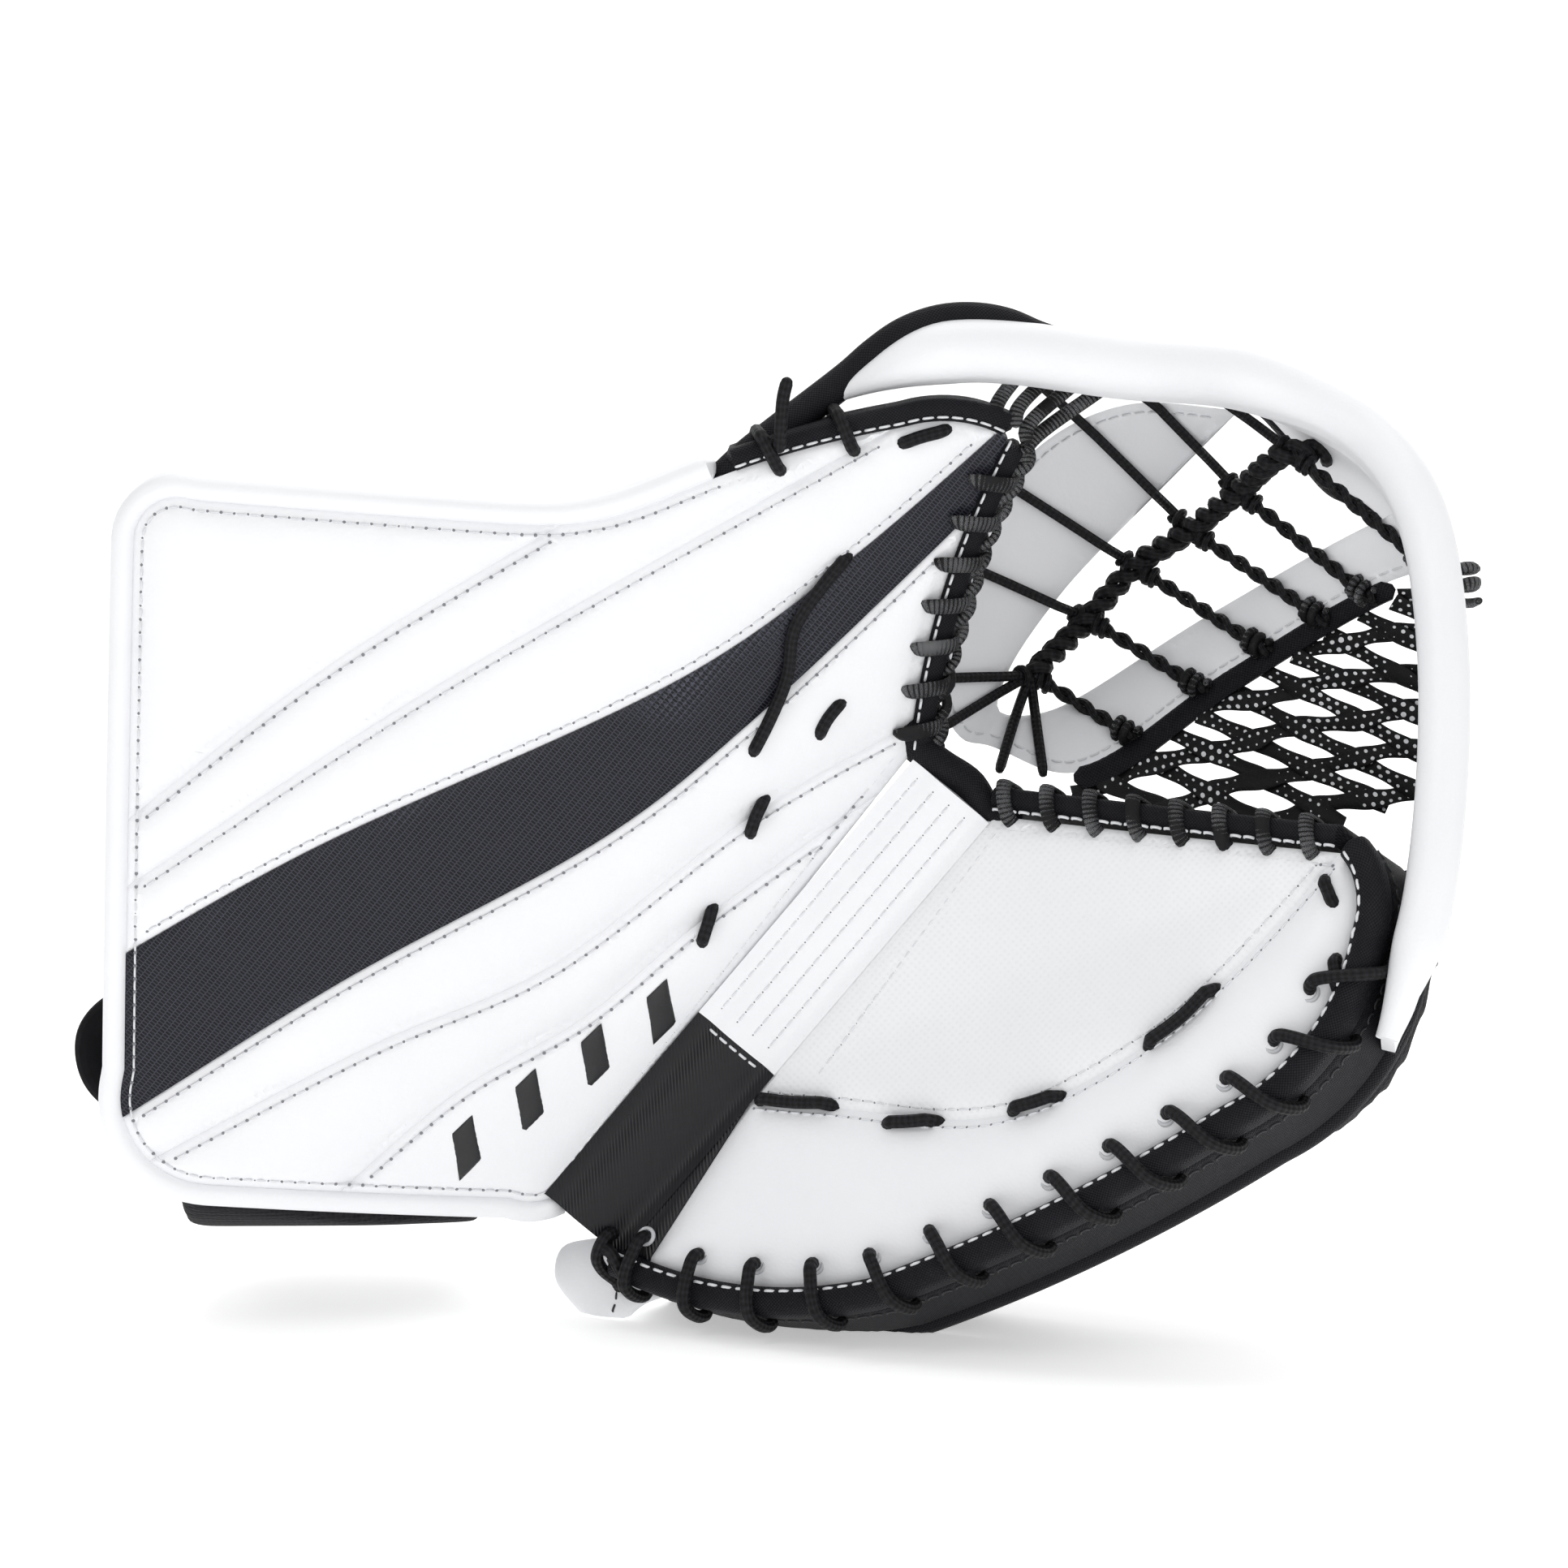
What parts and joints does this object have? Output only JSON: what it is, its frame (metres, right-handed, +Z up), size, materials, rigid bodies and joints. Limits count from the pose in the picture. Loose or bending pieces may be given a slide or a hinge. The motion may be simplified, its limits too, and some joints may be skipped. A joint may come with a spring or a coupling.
{
  "type": "goalie catch glove",
  "caption": "Ice hockey goalie catch glove: padded cuff and thumb hinged to a finger half along the break, laced pocket, wrist and backhand straps.",
  "frame": {"origin": "on the floor under the middle of the glove's bounding box", "axes": "+X from the cuff to the pocket, +Y from the palm side to the back of the hand, +Z up; the glove stands on its little-finger edge"},
  "size_m": [0.4475, 0.1924, 0.3231],
  "materials": {
    "white_leather": "satin",
    "black_leather": "satin",
    "stripe_mesh": "matte",
    "foam": "matte",
    "board": "matte",
    "lining": "matte",
    "padded_fabric": "matte",
    "webbing": "matte",
    "lace": "matte",
    "binding": "matte"
  },
  "bodies": {
    "thumb_half": {"thumb_core": "foam", "thumb_board": "board", "thumb_lining": "lining", "cuff_corner_panel": "white_leather", "cuff_upper_panel": "white_leather", "cuff_chevron_panel": "white_leather", "cuff_stripe": "stripe_mesh", "cuff_lower_panel": "white_leather", "cuff_badge_panel": "white_leather", "cuff_heel_panel": "white_leather", "cuff_edge_roll": "white_leather", "thumb_top_binding": "binding", "thumb_edge_binding": "binding", "thumb_sleeve": "padded_fabric", "cuff_lacing": "lace", "pocket_rim_thumb": "white_leather", "pocket_wall_thumb": "white_leather", "pocket_binding_thumb": "binding", "pocket_strap_thumb": "white_leather", "wrist_wrap": "padded_fabric", "strap_anchor": "black_leather", "strap_keeper": "black_leather"},
    "wrist_strap": {"wrist_strap": "webbing", "wrist_strap_tab": "black_leather"},
    "back_strap": {"back_strap": "webbing", "back_strap_tab": "black_leather"},
    "finger_half": {"finger_core": "foam", "finger_board": "board", "finger_lining": "lining", "heel_gusset": "black_leather", "palm_panel": "white_leather", "finger_panel": "white_leather", "finger_rim": "white_leather", "side_wall": "white_leather", "rear_binding": "binding", "palm_edge_binding": "binding", "rim_lacing": "lace", "palm_lacing": "lace", "heel_roll": "black_leather", "break_roll": "white_leather", "heel_tab": "white_leather", "stall_walls": "padded_fabric", "stall_sheet": "padded_fabric", "backhand_pad": "padded_fabric", "back_strap_anchor": "black_leather", "pocket_rim_finger": "white_leather", "pocket_wall_finger": "white_leather", "pocket_binding_finger": "binding", "pocket_rim_corner": "white_leather", "pocket_strap_finger": "white_leather", "pocket_strap_binding": "binding", "flat_lace_net": "lace", "pocket_strings": "lace"}
  },
  "joints": [
    {"name": "break_fold", "type": "hinge", "parent": "finger_half", "child": "thumb_half", "pos_m": [-0.075, 0.011, 0.029], "axis": [0.6428, 0, 0.766], "range_deg": [0, 60], "deforming": ["pocket_rim_corner", "pocket_strings"]},
    {"name": "wrist_strap_open", "type": "hinge", "parent": "thumb_half", "child": "wrist_strap", "pos_m": [-0.155, 0.09333, 0.09397], "axis": [-1, 0, 0], "range_deg": [0, 110]},
    {"name": "back_strap_open", "type": "hinge", "parent": "finger_half", "child": "back_strap", "pos_m": [0.03623, 0.06122, 0.0649], "axis": [0.6428, 0, 0.766], "range_deg": [0, 90]}
  ]
}
